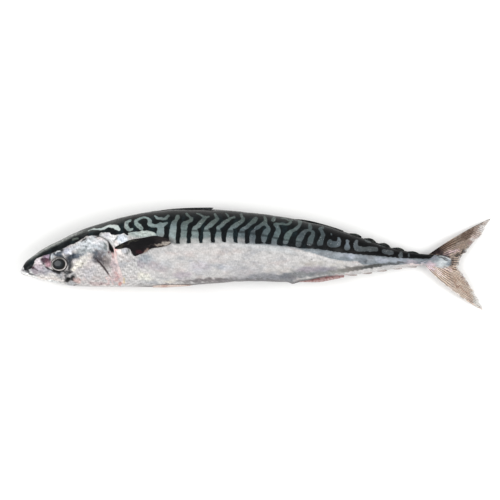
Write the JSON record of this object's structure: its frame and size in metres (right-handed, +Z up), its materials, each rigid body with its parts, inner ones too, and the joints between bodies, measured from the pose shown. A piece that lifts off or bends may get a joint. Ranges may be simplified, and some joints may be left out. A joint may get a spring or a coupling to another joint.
{
  "type": "whole raw mackerel",
  "caption": "Whole raw mackerel lying on its right flank, fins folded, tail forked, for a plate, a counter or a chopping board.",
  "frame": {"origin": "middle of the bounding box's underside, on the surface the fish lies on", "axes": "+X from the snout to the tail, +Y towards the back, +Z up out of the left flank"},
  "size_m": [0.36, 0.0776, 0.0424],
  "materials": {
    "skin": "wet, pearly, dark wavy bars over a blue-green back and a white belly",
    "eye": "wet and glossy, dark pupil in a pale ring",
    "dark_fin": "wet, thin, nearly black",
    "pale_fin": "wet, thin, pinkish white",
    "red_fin": "wet, thin, pinkish red",
    "tail_fin": "thin rays and membrane, grey brown"
  },
  "bodies": {
    "root": {"body": "skin", "left_eye": "eye", "right_eye": "eye", "first_dorsal_fin": "dark_fin", "second_dorsal_fin": "dark_fin", "dorsal_finlet_1": "dark_fin", "dorsal_finlet_2": "dark_fin", "dorsal_finlet_3": "dark_fin", "dorsal_finlet_4": "dark_fin", "dorsal_finlet_5": "dark_fin", "anal_fin": "red_fin", "anal_finlet_1": "pale_fin", "anal_finlet_2": "pale_fin", "anal_finlet_3": "pale_fin", "anal_finlet_4": "pale_fin", "anal_finlet_5": "pale_fin", "left_pectoral_fin": "dark_fin", "right_pectoral_fin": "dark_fin", "left_pelvic_fin": "pale_fin", "right_pelvic_fin": "pale_fin", "tail_fin": "tail_fin"}
  },
  "joints": []
}
